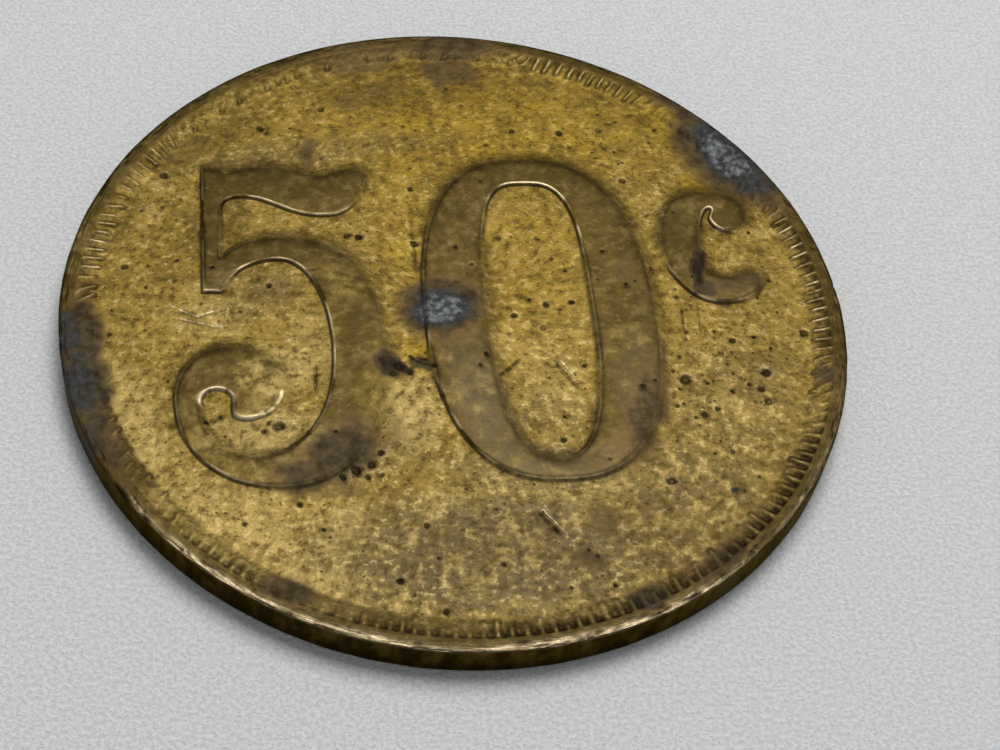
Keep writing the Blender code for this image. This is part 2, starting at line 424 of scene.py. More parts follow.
# Scratches: start and end in thousandths of a radius, width and depth in radii, then how dirty
# and how bright they are.
SCRATCHES = [(np.array(start) / 1000, np.array(end) / 1000, *rest) for start, end, *rest in (
    ((88, -212), (142, -158), 0.004, 0.003, 0.9, 0),
    ((-292, 262), (-236, 248), 0.005, 0.0026, 0.9, 0),
    ((232, -178), (266, -236), 0.005, 0.0032, 0.9, 0),
    ((246, -172), (272, -215), 0.0035, 0.002, 0, 0.7),
    ((140, -620), (192, -692), 0.004, 0.0028, 0.8, 0),
    ((152, -615), (200, -680), 0.003, 0.0016, 0, 0.5),
    ((-370, -168), (-373, -252), 0.0045, 0.0028, 0.8, 0),
    ((577, -4), (573, -105), 0.0035, 0.002, 0.6, 0),
    ((622, 10), (617, -85), 0.0035, 0.0018, 0.5, 0),
    ((-102, 105), (-104, 300), 0.004, 0.0018, 0.45, 0),
    ((-720, 20), (-655, -16), 0.0045, 0.0022, 0, 0.5),
    ((-700, -20), (-600, -48), 0.004, 0.0022, 0, 0.4),
    ((-655, -12), (-615, 4), 0.004, 0.002, 0, 0.5),
    ((-430, 120), (-350, 135), 0.003, 0.0012, 0.3, 0),
    ((540, -640), (640, -560), 0.0028, 0.0012, 0.3, 0),
    ((-640, -345), (-598, -323), 0.006, 0.0034, 1, 0),
    ((-135, -148), (-95, -160), 0.004, 0.0022, 0.9, 0),
    ((-128, -156), (-72, -186), 0.005, 0.0028, 1, 0),
    ((-178, -150), (-160, -160), 0.003, 0, 0, 0.8),
)]


def along_line(points, start, end):
    """Share of the way along a line and distance from it, for each point."""
    reach = end - start
    share = np.clip((points - start) @ reach / (reach @ reach), 0, 1)
    return share, np.linalg.norm(points - start - share[:, None] * reach, axis=1)


def scratched(points):
    """How far scratches sink each point, and how dirty and how bright they leave it."""
    sunk, dirt_and_shade, wear = (np.zeros(len(points)) for _ in range(3))
    for number, (start, end, width, depth, dark, bright) in enumerate(SCRATCHES):
        share, away = along_line(points, start, end)
        wobble = 1 + 0.7 * lumps(share * 9, away * 0, 1.0, 300 + number)
        mark = np.exp(-(away / (0.7 * width * wobble)) ** 2)
        sunk += depth * mark * np.minimum(1, 6 * np.minimum(share, 1 - share) + 0.2)
        dirt_and_shade = np.maximum(dirt_and_shade, dark * mark * wobble)
        wear = np.maximum(wear, bright * mark * wobble)
    return sunk, dirt_and_shade, wear


def scratch_points():
    """Rows of points that give each scratch its furrow."""
    points = []
    for start, end, width, *_ in SCRATCHES:
        length = np.linalg.norm(end - start)
        side = np.array([start[1] - end[1], end[0] - start[0]]) / length
        for share in np.linspace(0, 1, max(3, round(length / 0.0055))):
            for offset in (-1.3, -0.6, 0.0, 0.6, 1.3):
                points.append(start + share * (end - start) + offset * width * side)
    return np.array(points)


# Stretches of the border: middle and half-width in degrees, and strength.
CRISP_ARCS = (
    (6, 17, 1.0), (64, 12, 0.8), (146, 8, 0.62), (168, 10, 0.68), (232, 8, 0.6), (257, 8, 0.6),
    (286, 17, 0.85), (320, 17, 0.85), (355, 7, 0.85),
)
FLUSH_ARCS = (
    (36, 13, 1.0), (102, 24, 0.8), (194, 14, 0.92), (212, 8, 0.45), (244, 6, 0.5),
)
SLIM_ARCS = ((6, 26, 1.0), (160, 22, 0.5))      # thin ridges
# The next stretch has deeper gaps darkened at their outer ends: partly packed dirt, partly painted shade.
POCKET_ARCS = ((282, 58, 1.0),)                 # dark pockets between the ridges' outer ends
BROWN_ARCS = (
    (8, 24, 0.82), (60, 20, 0.6), (98, 30, 0.95), (135, 25, 0.48), (160, 14, 0.28), (194, 24, 0.9),
    (235, 24, 0.5), (292, 44, 0.9), (338, 14, 0.3),
)
# Near-side stretches where the rim's crest and the wall's top are painted bright: partly worn metal,
# partly painted highlight.
WORN_AND_HIGHLIT_ARCS = ((262, 45, 1.0), (330, 14, 0.35))
ARC_FADE = 7


def arcs(degrees, stretches):
    """Strength of the listed stretches at each angle, from 0 to 1."""
    found = np.zeros(len(degrees))
    for middle, half, strength in stretches:
        away = np.abs((degrees - middle + 180) % 360 - 180)
        found = np.maximum(found, strength * smoothstep(half + ARC_FADE, half - ARC_FADE, away))
    return found


def border(angle, reach, seed):
    """Drop below the rim's flat ring, and masks, of one face's border and shoulder."""
    rng = np.random.default_rng(seed)
    degrees = np.degrees(angle)
    crisp = np.maximum(0.22 + 0.14 * round_lumps(angle, 23, seed + 1), arcs(degrees, CRISP_ARCS))
    flush = arcs(degrees, FLUSH_ARCS)
    crisp = crisp * (1 - flush)
    pocketed, worn_and_highlit = arcs(degrees, POCKET_ARCS), arcs(degrees, WORN_AND_HIGHLIT_ARCS)
    brown = np.maximum(0.25 + 0.12 * round_lumps(angle, 31, seed + 7), arcs(degrees, BROWN_ARCS))

    place = angle / FULL_TURN * DENTICLES + 0.26 * round_lumps(angle, 61, seed + 3)
    lean = 1.2 * round_lumps(angle, 13, seed + 2) * (reach - 0.935) / 0.03
    place = place + lean * (0.2 + 0.8 * smoothstep(0.7, 0.3, crisp))
    number = np.floor(place).astype(int) % DENTICLES
    phase = place - np.floor(place)

    def each(low, high):
        return rng.uniform(low, high, DENTICLES)[number]

    height = each(0.55, 1.0)
    height = height - 0.4 * pocketed * each(0, 1)
    height = height + (1 - height) * smoothstep(0.935, 0.958, reach)
    width = each(-0.04, 0.05)
    width = width - 0.1 * arcs(degrees, SLIM_ARCS) + 0.13 * pocketed
    inner = each(-0.005, 0.01)
    inner = inner + 0.012 * pocketed * each(0, 1)
    outer = each(-0.01, 0.002)
    shine = each(0.15, 1.0)
    ridge = smoothstep(0.18 - width, 0.46, phase) * smoothstep(0.82 + width, 0.54, phase)
    length = smoothstep(FIELD_EDGE + 0.001 + inner, FIELD_EDGE + 0.014 + inner, reach)
    deep = TOP - face_levels()[0] - CREST_DROP
    fill = (0.72 - 0.45 * crisp + 0.2 * flush) * smoothstep(FIELD_EDGE, 0.94, reach)
    joined = smoothstep(0.947, 0.963, reach) * (1 - pocketed)
    joined = joined + smoothstep(0.955, 0.968, reach) * pocketed
    fill = fill + (1 - fill) * joined
    bumpy = 0.1 * lumps(angle * 40, reach * 60, 1.0, seed + 8) * (1 - crisp) * (1 - joined)
    raised = deep * np.maximum(fill + bumpy * length, length * (fill + (height - fill) * ridge))

    start = RIM_FOOT + 0.0016 * round_lumps(angle, 120, seed + 4)
    rim = smoothstep(start - 0.006, start + 0.008, reach)
    flat = 0.0004 + 0.0004 * round_lumps(angle, 90, seed + 5)
    shoulder = np.interp(
        reach, (RIM_TURN - 0.01, RIM_TURN, 0.9885, 0.9935, 0.997, 1.0),
        (0.0, 0.0002, 0.0005, 0.0011, 0.002, 0.004),
    )
    flakes = lumps(angle / 0.045, reach / 0.0042, 1.0, seed + 9)
    ragged = 0.0035 * lumps(angle / 0.028, reach * 0, 1.0, seed + 11)
    flat = flat + 0.0008 * worn_and_highlit * (1 + flakes) * smoothstep(0.97, 0.98, reach)
    drop = deep + CREST_DROP - raised
    drop = drop + (flat + shoulder - drop) * rim

    nick_dirt = np.zeros(len(angle))
    middles = rng.uniform(0, FULL_TURN, NICKS)
    widths = 0.004 + 0.02 * rng.uniform(0, 1, NICKS) ** 2
    places = rng.uniform(0.982, 0.999, NICKS)
    depths = 0.0006 + 0.0042 * rng.uniform(0, 1, NICKS) ** 2.0
    for middle, nick_width, nick_place, depth in zip(middles, widths, places, depths):
        away = (angle - middle + math.pi) % FULL_TURN - math.pi
        dent = np.exp(-(away / nick_width) ** 2 - ((reach - nick_place) / 0.0035) ** 2)
        drop = drop + depth * dent
        nick_dirt = np.maximum(nick_dirt, dent * depth / 0.0048)

    # Dark pockets at the gaps' outer ends, on the near side only: partly packed dirt, partly painted
    # shade.
    gap = (1 - ridge) * (0.25 + 0.75 * crisp)
    pocket = gap * smoothstep(0.936 + outer, 0.95 + outer, reach)
    pocket = pocket * smoothstep(start + 0.004, start - 0.002, reach) * (0.2 + 0.8 * pocketed)
    # The rim's crest on those near-side stretches is painted bright: partly worn metal, partly painted
    # highlight.
    crest = 0.1 * smoothstep(0.972, 0.978, reach + ragged)
    crest = crest + 0.9 * smoothstep(0.981, 0.99, reach + ragged)
    # Each ridge's thin bright crest line is partly worn metal, partly painted highlight.
    line = np.exp(-((phase - 0.5) / 0.09) ** 2) * length * (1 - joined)
    # The dark line at the outermost edge, where it isn't worn, is painted shade.
    masks = {
        "smooth": smoothstep(start - 0.012, start + 0.002, reach),
        "dirt_and_shade": np.clip(0.48 * gap * smoothstep(0.915, 0.94, reach) * (1 - joined) * brown
                        + 0.95 * pocket + 0.5 * nick_dirt
                        + 0.7 * smoothstep(0.99, 0.997, reach) * (1 - worn_and_highlit), 0, 1),
        "wear": np.clip(crest * worn_and_highlit * (0.3 + 0.7 * smoothstep(-0.5, 0.3, flakes))
                        + (0.72 - 0.6 * pocketed) * line * shine * crisp, 0, 1),
        "haze_and_shade": np.clip(brown * smoothstep(0.87, 0.945, reach)
                        * (1 + 0.5 * lumps(angle * 14, reach * 14, 1.0, seed + 10))
                        + 0.22 * smoothstep(0.955, 0.97, reach), 0, 1),
    }
    return np.maximum(drop, 0.0002), masks


# ---- tarnish patches ----
# By kind: place and half-widths in thousandths of a radius, turn in degrees, strength
# in hundredths.
PATCHES = {
    "blue": (
        (-40, -8, 78, 66, 0, 93), (800, 520, 84, 170, 34, 66), (780, 525, 56, 130, 34, 86),
        (-985, -70, 60, 100, 4, 58), (-955, -225, 58, 125, 13, 56), (-915, -365, 48, 115, 23, 48),
        (620, -562, 17, 13, 0, 70),
    ),
    "umber": (
        (-40, 4, 104, 100, 0, 115), (695, 700, 40, 130, 45, 95), (885, 430, 40, 60, 26, 50),
        (790, 525, 112, 215, 34, 100), (-318, -430, 95, 78, 30, 90), (-375, -495, 105, 48, 12, 88),
        (-210, -370, 60, 70, 10, 35), (-500, -470, 120, 40, -12, 15), (-945, -70, 66, 105, 4, 100),
        (-930, -225, 60, 125, 13, 100), (-896, -375, 48, 125, 23, 80), (-846, -500, 34, 95, 32, 45),
        (50, 950, 150, 60, 0, 72), (40, 865, 80, 55, 0, 66), (-220, 905, 150, 60, 12, 55),
        (-190, 770, 120, 45, 15, 42), (-365, 540, 22, 75, -15, 62), (-195, -175, 40, 42, 10, 130),
        (-145, -190, 26, 18, -30, 120), (-95, -168, 34, 20, -25, 110), (-300, -180, 100, 80, 10, 18),
        (642, 125, 19, 85, -4, 135), (650, 55, 40, 32, -10, 100), (735, 72, 90, 36, 10, 66),
        (440, -330, 55, 160, -18, 74), (350, -440, 110, 50, 30, 55), (455, 90, 40, 120, 5, 40),
        (-450, -830, 68, 40, -30, 85), (375, -865, 60, 36, 22, 100), (560, -780, 110, 55, 35, 72),
        (830, -450, 50, 80, -30, 28), (920, -230, 40, 28, 0, 85), (20, -690, 210, 105, 5, 30),
        (240, -750, 40, 35, 0, 60), (290, -650, 55, 35, 0, 55), (400, -600, 50, 30, 30, 45),
        (-860, 470, 40, 40, 0, 55), (-480, 60, 80, 55, 20, 38), (-700, 550, 80, 40, 40, 35),
        (480, 560, 60, 30, -30, 30), (685, 5, 30, 14, 0, 80), (-330, -550, 60, 25, 10, 50),
    ),
    "orange": (
        (640, 640, 65, 150, 42, 120), (700, 430, 60, 60, 0, 80), (-110, -150, 60, 45, -30, 90),
        (150, 680, 520, 220, 0, 85), (-120, 380, 80, 300, 0, 60), (210, 200, 120, 240, 0, 45),
    ),
    "pale": (
        (200, -500, 170, 45, 0, 10), (-520, -680, 280, 140, -35, 62), (100, -580, 280, 50, 5, 35),
        (-800, -350, 70, 200, 20, 60), (-640, -10, 90, 60, 0, 30), (-220, -200, 55, 150, 0, 35),
        (-480, -200, 90, 80, 0, 85), (430, -120, 45, 60, 0, 30), (20, -260, 55, 120, 18, 45),
        (210, -220, 80, 120, 0, 25), (-370, -120, 60, 130, 8, 45), (-540, -420, 150, 55, -8, 75),
        (-140, -320, 80, 100, 0, 90), (-470, -370, 130, 70, -8, 80), (-330, -640, 100, 80, 0, 40),
        (-280, 120, 60, 100, 0, 30), (-950, 195, 45, 100, -12, 50),
    ),
    "grey": (
        (60, -740, 420, 180, 2, 115), (480, -620, 260, 190, 35, 80), (660, -360, 190, 250, -20, 55),
        (-280, -450, 200, 100, 10, 50), (180, -490, 260, 70, 0, 90), (210, -330, 100, 80, 0, 50),
        (40, -290, 70, 190, 15, 85), (440, -250, 70, 160, -10, 60), (-520, 60, 130, 90, 15, 45),
        (-330, 560, 330, 50, 8, 55),
    ),
    "haze_and_shade": (
        (-600, 340, 70, 180, 0, 85), (-420, 430, 200, 60, 0, 72), (-450, 195, 170, 40, 0, 75),
        (-590, -300, 60, 130, 25, 35), (200, 470, 210, 60, 0, 62), (30, 300, 60, 150, 12, 35),
        (600, 240, 60, 120, 0, 85), (720, 290, 60, 50, 0, 70), (-255, -100, 55, 130, 0, 75),
        (-60, 810, 340, 90, 4, 60), (-640, 640, 200, 80, 45, 50), (430, 760, 260, 70, -30, 42),
        (-880, 310, 60, 180, -20, 65), (800, 20, 100, 260, 0, 34), (640, -620, 80, 260, -48, 50),
        (450, -680, 170, 120, 0, 45), (60, -720, 260, 100, 0, 32), (-10, -150, 50, 120, 10, 35),
        (440, -100, 50, 120, 0, 40), (200, 390, 70, 50, 0, 30),
    ),
}
LOWER_PATCHES = {
    "blue": ((450, 360, 130, 80, 25, 80),),
    "umber": (
        (420, 350, 300, 180, 30, 80), (-550, -480, 200, 260, -35, 70), (-930, 200, 60, 250, 5, 90),
        (200, -930, 250, 60, 5, 80),
    ),
    "orange": ((-300, 300, 400, 260, 10, 60),),
    "pale": ((250, -450, 420, 230, 15, 80),),
}
PATCH_KINDS = ("blue", "umber", "orange", "pale", "grey", "haze_and_shade")
PATCH_FADE = 0.5                # part of its half-width over which a patch fades, inwards and out


def add_tarnish(masks, x, y, patches, seed):
    """Adds to the masks the strength of each kind of patch, with uneven, soft borders."""
    warp_x = 0.014 * lumps(x, y, 0.055, seed) + 0.006 * lumps(x, y, 0.018, seed + 1)
    warp_y = 0.014 * lumps(x, y, 0.055, seed + 2) + 0.006 * lumps(x, y, 0.018, seed + 3)
    for kind in PATCH_KINDS:
        mask = masks.get(kind, np.zeros(len(x)))
        for *sizes, turn, strength in patches.get(kind, ()):
            patch_x, patch_y, half_x, half_y = (size / 1000 for size in sizes)
            cosine, sine = math.cos(math.radians(turn)), math.sin(math.radians(turn))
            across, up = x + warp_x - patch_x, y + warp_y - patch_y
            u = (cosine * across + sine * up) / half_x
            v = (cosine * up - sine * across) / half_y
            amount = strength / 100 * smoothstep(1 + PATCH_FADE, 1 - PATCH_FADE, np.hypot(u, v))
            mask = np.maximum(mask, amount)
        masks[kind] = mask


# ---- the mesh ----
class Surface:
    """Vertices with masks, and faces, of the token's one closed surface."""

    def __init__(self):
        self.places = []
        self.masks = []
        self.count = 0
        self.faces = []

    def add(self, x, y, z, masks):
        """Adds vertices and returns their numbers."""
        first = self.count
        self.count += len(x)
        self.places.append(np.stack([x, y, z], 1))
        self.masks.append(np.stack([masks[name] for name in MASKS], 1))
        return np.arange(first, self.count)

    def ring_faces(self, inner, outer):
        """Faces between two rings of vertices, of which the outer may have twice as many."""
        if len(outer) == len(inner):
            corners = [inner, outer, np.roll(outer, -1), np.roll(inner, -1)]
        else:
            even, odd = outer[::2], outer[1::2]
            corners = [inner, even, odd, np.roll(even, -1), np.roll(inner, -1)]
        self.faces.extend(np.stack(corners, 1).tolist())


MASKS = ("smooth", "dirt_and_shade", "wear", "side") + PATCH_KINDS
ANGLES = np.linspace(0, FULL_TURN, DENTICLES * COLUMNS_PER_DENTICLE, endpoint=False)
LOWER_ANGLES = np.linspace(0, FULL_TURN, DENTICLES * LOWER_COLUMNS_PER_DENTICLE, endpoint=False)
RIM_RADII = (
    0.9085, 0.913, 0.919, 0.93, 0.94, 0.948, 0.9545, 0.959, 0.963, 0.967, 0.9715, 0.976,
    0.98, 0.9835, 0.9865, 0.9895, 0.9925, 0.9955, 0.998,
)
LOWER_RIM_RADII = (
    0.912, 0.92, 0.942, 0.954, 0.96, 0.9645, 0.969, 0.977, 0.986, 0.9915, 0.997,
)
SIDE_HEIGHTS = (0.0, 0.45, 0.8, 0.93, 1.0)
OUTLINE_NOTCH = 3.5             # angle, in degrees, of a notch at the end of a slight bulge
SHOULDER_DROP = 0.0052          # rim's flat ring down to where the side wall starts
MASK_LIMIT = 1.6


def field_points(numerals, pits, step):
    """Plan points for a field: an even grid, made finer at walls and pits."""
    row_step = step * math.sqrt(3) / 2
    rows = int(FIELD_EDGE / row_step) + 1
    columns = int(FIELD_EDGE / step) + 1
    grid = np.array([
        (step * (i + 0.5 * (j % 2)), row_step * j)
        for j in range(-rows, rows + 1) for i in range(-columns, columns + 1)
    ])
    grid = grid + np.random.default_rng(5).uniform(-0.15, 0.15, grid.shape) * step
    grid = grid[np.hypot(grid[:, 0], grid[:, 1]) < FIELD_EDGE - 0.6 * step]
    parts = []
    if numerals is not None:
        distance, _, _ = numerals.near(grid)
        clear = (distance < WALL_ROWS[0] - 0.45 * step) | (distance > WALL_ROWS[-1] + 0.45 * step)
        for start, end, width, *_ in SCRATCHES:
            clear &= along_line(grid, start, end)[1] > 1.3 * width + 0.35 * step
        grid = grid[clear]
        parts += [numerals.rows(), scratch_points()]
    for x, y, radius, _ in pits:
        grid = grid[np.hypot(grid[:, 0] - x, grid[:, 1] - y) > 1.3 * radius + 0.35 * step]
    parts += [grid, pit_points(pits)]
    points = np.concatenate(parts)
    return thinned(points[np.hypot(points[:, 0], points[:, 1]) < FIELD_EDGE - 0.002])


def thinned(points):
    """The points without those that share a small square with an earlier one."""
    cells = np.round(points / POINT_GAP).astype(int)
    _, first = np.unique(cells, axis=0, return_index=True)
    return points[np.sort(first)]


def triangles_of(points):
    """Triangles over plan points, all turning anticlockwise."""
    found = delaunay_2d_cdt([Vector(p) for p in points.tolist()], [], [], 0, 1e-7, True)
    vertices, faces, origins = np.array([tuple(v) for v in found[0]]), found[2], found[3]
    order = np.array([origin[0] for origin in origins])
    triangles = order[np.array(faces)]
    a, b, c = (points[triangles[:, k]] for k in range(3))
    area = (b[:, 0] - a[:, 0]) * (c[:, 1] - a[:, 1]) - (b[:, 1] - a[:, 1]) * (c[:, 0] - a[:, 0])
    triangles[area < 0] = triangles[area < 0][:, ::-1]
    return triangles


def outline_scale(angle):
    """The disc's outline isn't a perfect circle: a share of the radius, 1 at most."""
    degrees = np.degrees(angle)
    away = np.abs((degrees - OUTLINE_NOTCH + 180) % 360 - 180)
    return (
        1 - 0.0018 + 0.0008 * arcs(degrees, ((OUTLINE_NOTCH - 9, 4, 1.0),))
        - 0.0026 * np.exp(-(away / 0.45) ** 2)
        + 0.0006 * round_lumps(angle, 11, 71) + 0.0004 * round_lumps(angle, 67, 72)
    )


def add_face(surface, upper, numerals, pits, step, radii, angles, patches, seed):
    """Adds one face from its field to its shoulder and returns its outermost ring."""
    count = len(angles)
    rim_points = FIELD_EDGE * np.stack([np.cos(angles), np.sin(angles)], 1)
    plan = np.concatenate([rim_points, field_points(numerals, pits, step)])
    if upper:
        height, masks = upper_field(plan, numerals, pits)
    else:
        height, masks = lower_field(plan, pits)
    masks["side"] = np.zeros(len(plan))
    add_tarnish(masks, plan[:, 0], plan[:, 1], patches, seed)
    numbers = surface.add(plan[:, 0], plan[:, 1], height, masks)
    triangles = numbers[triangles_of(plan)]
    surface.faces.extend((triangles if upper else triangles[:, ::-1]).tolist())

    ring = numbers[:count]
    for reach in radii:
        drop, masks = border(angles, np.full(count, reach), seed + 40)
        blend = smoothstep(FIELD_EDGE, 1.0, reach)
        wide = reach * (1 + (outline_scale(angles) - 1) * blend)
        x, y = wide * np.cos(angles), wide * np.sin(angles)
        masks["side"] = np.zeros(count)
        add_tarnish(masks, x, y, patches, seed)
        z = TOP - drop if upper else drop
        following = surface.add(x, y, z, masks)
        if upper:
            surface.ring_faces(ring, following)
        else:
            surface.ring_faces(following, ring)
        ring = following
    return ring


def lower_field(points, pits):
    """Height and masks of the plain lower field."""
    x, y = points[:, 0], points[:, 1]
    level = TOP - face_levels()[0]
    settle = smoothstep(FIELD_EDGE, FIELD_EDGE - 0.03, np.hypot(x, y))
    uneven = 0.0006 * lumps(x, y, 0.17, 61) + 0.0005 * lumps(x, y, 0.05, 62)
    sunk, pit_dirt, pit_wear = pit_depth(points, pits)
    masks = {"smooth": np.zeros(len(points)), "dirt_and_shade": pit_dirt, "wear": pit_wear}
    return level + uneven * settle + sunk, masks


def token_surface(numerals):
    surface = Surface()
    upper = add_face(
        surface, True, numerals, pits_of_upper_face(numerals), GRID_STEP, RIM_RADII, ANGLES,
        PATCHES, 100)
    ring = add_face(
        surface, False, None, pits_of_lower_face(), LOWER_GRID_STEP, LOWER_RIM_RADII,
        LOWER_ANGLES, LOWER_PATCHES, 200)
    for share in SIDE_HEIGHTS:
        angles = ANGLES if share else LOWER_ANGLES
        count = len(angles)
        z = np.full(count, SHOULDER_DROP + (TOP - 2 * SHOULDER_DROP) * share)
        dented = 0.0006 * lumps(angles * 9, z * 30, 0.35, 81) + 0.0005
        dented = dented + 0.0006 * lumps(angles * 30, z * 40, 1.0, 83) * smoothstep(0.6, 1.0, share)
        reach = outline_scale(angles) - dented
        x, y = reach * np.cos(angles), reach * np.sin(angles)
        jagged = 0.5 + 0.5 * lumps(angles / 0.022, angles * 0, 1.0, 82)
        # The wall's top on the near-side stretches gets a little painted highlight, partly worn metal.
        worn_and_highlit = arcs(np.degrees(angles), WORN_AND_HIGHLIT_ARCS) * smoothstep(1 - 0.1 * jagged, 1.0, share)
        masks = {name: np.zeros(count) for name in ("smooth", "dirt_and_shade")}
        masks.update(side=np.ones(count), wear=0.25 * worn_and_highlit)
        add_tarnish(masks, x, y, PATCHES, 100)
        following = surface.add(x, y, z, masks)
        # Known fault: the wall's faces, here and below, are wound inwards, unlike both faces'.
        surface.ring_faces(ring, following)
        ring = following
    surface.ring_faces(ring, upper)
    return surface


def linked(name, data):
    """A new object with that data, in the scene."""
    thing = bpy.data.objects.new(name, data)
    bpy.context.collection.objects.link(thing)
    return thing


def mesh_object(surface, name):
    places = np.concatenate(surface.places)
    places = places * RADIUS + np.array([0, 0, LOW.z])
    mesh = bpy.data.meshes.new(name)
    mesh.from_pydata(places.tolist(), [], surface.faces)
    values = np.concatenate(surface.masks)
    for column, mask in enumerate(MASKS):
        attribute = mesh.attributes.new(mask, "FLOAT", "POINT")
        attribute.data.foreach_set("value", np.clip(values[:, column], 0, MASK_LIMIT).astype(np.float32))
    mesh.shade_smooth()
    mesh.update()
    return linked(name, mesh)


# ---- materials ----
class Nodes:
    """Short ways to add shader nodes to one material."""

    def __init__(self, name):
        self.material = bpy.data.materials.new(name)
        self.material.use_nodes = True
        self.tree = self.material.node_tree
        self.shader = self.tree.nodes["Principled BSDF"]
        coordinates = self.new("TexCoord")
        mapping = self.new("Mapping")
        mapping.inputs["Scale"].default_value = (1 / RADIUS,) * 3
        self.set(mapping.inputs["Vector"], coordinates.outputs["Object"])
        self.place = mapping.outputs["Vector"]

    def new(self, kind):
        return self.tree.nodes.new("ShaderNode" + kind)

    def set(self, socket, value):
        if isinstance(value, bpy.types.NodeSocket):
            self.tree.links.new(value, socket)
        else:
            socket.default_value = value

    def noise(self, scale, detail, roughness, place=None):
        node = self.new("TexNoise")
        self.set(node.inputs["Vector"], self.place if place is None else place)
        node.inputs["Scale"].default_value = scale
        node.inputs["Detail"].default_value = detail
        node.inputs["Roughness"].default_value = roughness
        return node.outputs["Fac"]

    def round_place(self, along, across, up):
        """Angle round the token, distance from its axis and height, each stretched."""
        parts = self.new("SeparateXYZ")
        self.set(parts.inputs[0], self.place)
        x, y, z = parts.outputs
        angle = self.math("ARCTAN2", y, x)
        square = self.plus(self.times(x, x), self.times(y, y))
        self.reach = reach = self.math("POWER", square, 0.5)
        joined = self.new("CombineXYZ")
        for socket, value, factor in zip(joined.inputs, (angle, reach, z), (along, across, up)):
            self.set(socket, self.times(value, factor))
        return joined.outputs[0]

    def math(self, operation, first, second):
        node = self.new("Math")
        node.operation = operation
        self.set(node.inputs[0], first)
        self.set(node.inputs[1], second)
        return node.outputs[0]

    def times(self, first, second):
        return self.math("MULTIPLY", first, second)

    def plus(self, first, second):
        return self.math("ADD", first, second)

    def range(self, value, low, high, to_low=0.0, to_high=1.0):
        node = self.new("MapRange")
        node.interpolation_type = "SMOOTHSTEP"
        self.set(node.inputs["Value"], value)
        for name, number in zip(
            ("From Min", "From Max", "To Min", "To Max"), (low, high, to_low, to_high)
        ):
            node.inputs[name].default_value = number
        return node.outputs["Result"]

    def mix(self, share, first, second):
        """Colours mixed by share, from 0 for the first to 1 for the second."""
        node = self.new("Mix")
        node.data_type = "RGBA"
        self.set(node.inputs[0], share)
        self.set(node.inputs[6], (*first, 1) if isinstance(first, tuple) else first)
        self.set(node.inputs[7], (*second, 1) if isinstance(second, tuple) else second)
        return node.outputs[2]

    def blend(self, share, first, second):
        """Numbers mixed by share."""
        node = self.new("Mix")
        node.data_type = "FLOAT"
        self.set(node.inputs[0], share)
        self.set(node.inputs[2], first)
        self.set(node.inputs[3], second)
        return node.outputs[0]

    def mask(self, name):
        node = self.new("Attribute")
        node.attribute_name = name
        return node.outputs["Fac"]

    def bump(self, height, distance):
        node = self.new("Bump")
        node.inputs["Distance"].default_value = distance
        self.set(node.inputs["Height"], height)
        return node.outputs["Normal"]


